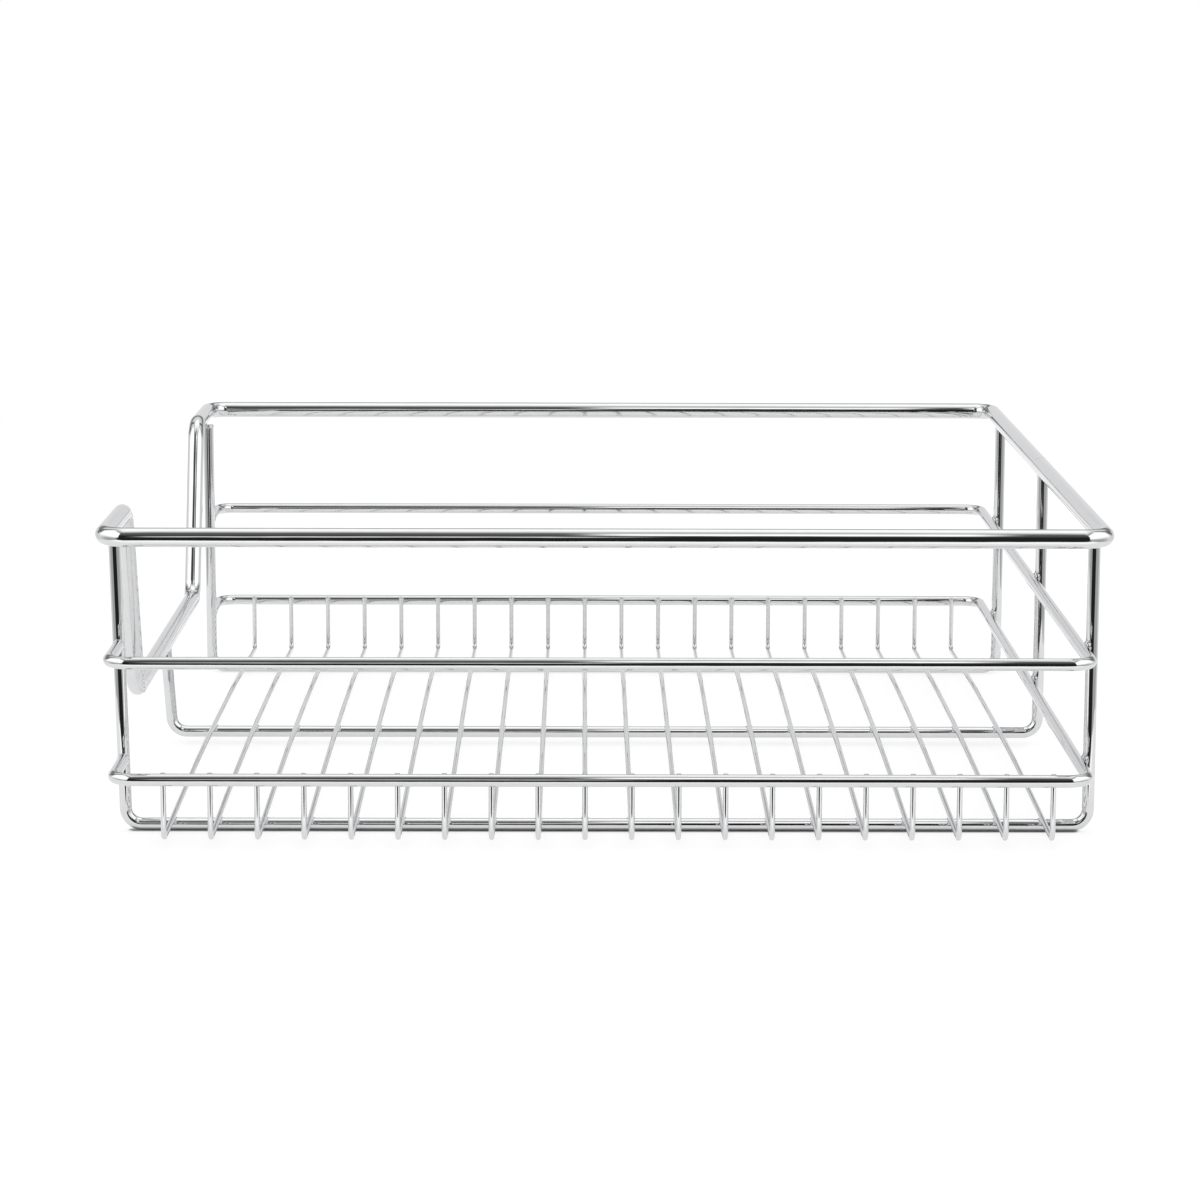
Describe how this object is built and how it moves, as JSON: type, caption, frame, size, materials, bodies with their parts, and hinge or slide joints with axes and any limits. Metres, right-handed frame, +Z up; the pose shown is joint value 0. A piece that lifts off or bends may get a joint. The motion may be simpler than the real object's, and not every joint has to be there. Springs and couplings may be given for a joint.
{
  "type": "pull-out kitchen basket",
  "caption": "Wire basket for a kitchen base cabinet, with a thick rim that dips low at its front, rails round its sides and back, and a bottom of thin cross wires.",
  "frame": {"origin": "on the surface below the middle of the basket, midway between its front and back and between its sides", "axes": "+X towards the back of the basket, away from the dipped front; +Y across the drawer, towards its left side; +Z up"},
  "size_m": [0.48, 0.514, 0.156],
  "materials": {
    "chrome_plate": "polished"
  },
  "bodies": {
    "root": {"top_rim": "chrome_plate", "middle_rail": "chrome_plate", "lower_rail": "chrome_plate", "right_frame_wire": "chrome_plate", "centre_frame_wire": "chrome_plate", "left_frame_wire": "chrome_plate", "cross_wire_01": "chrome_plate", "cross_wire_02": "chrome_plate", "cross_wire_03": "chrome_plate", "cross_wire_04": "chrome_plate", "cross_wire_05": "chrome_plate", "cross_wire_06": "chrome_plate", "cross_wire_07": "chrome_plate", "cross_wire_08": "chrome_plate", "cross_wire_09": "chrome_plate", "cross_wire_10": "chrome_plate", "cross_wire_11": "chrome_plate", "cross_wire_12": "chrome_plate", "cross_wire_13": "chrome_plate", "cross_wire_14": "chrome_plate", "cross_wire_15": "chrome_plate", "cross_wire_16": "chrome_plate", "cross_wire_17": "chrome_plate", "cross_wire_18": "chrome_plate", "cross_wire_19": "chrome_plate", "cross_wire_20": "chrome_plate"}
  },
  "joints": []
}
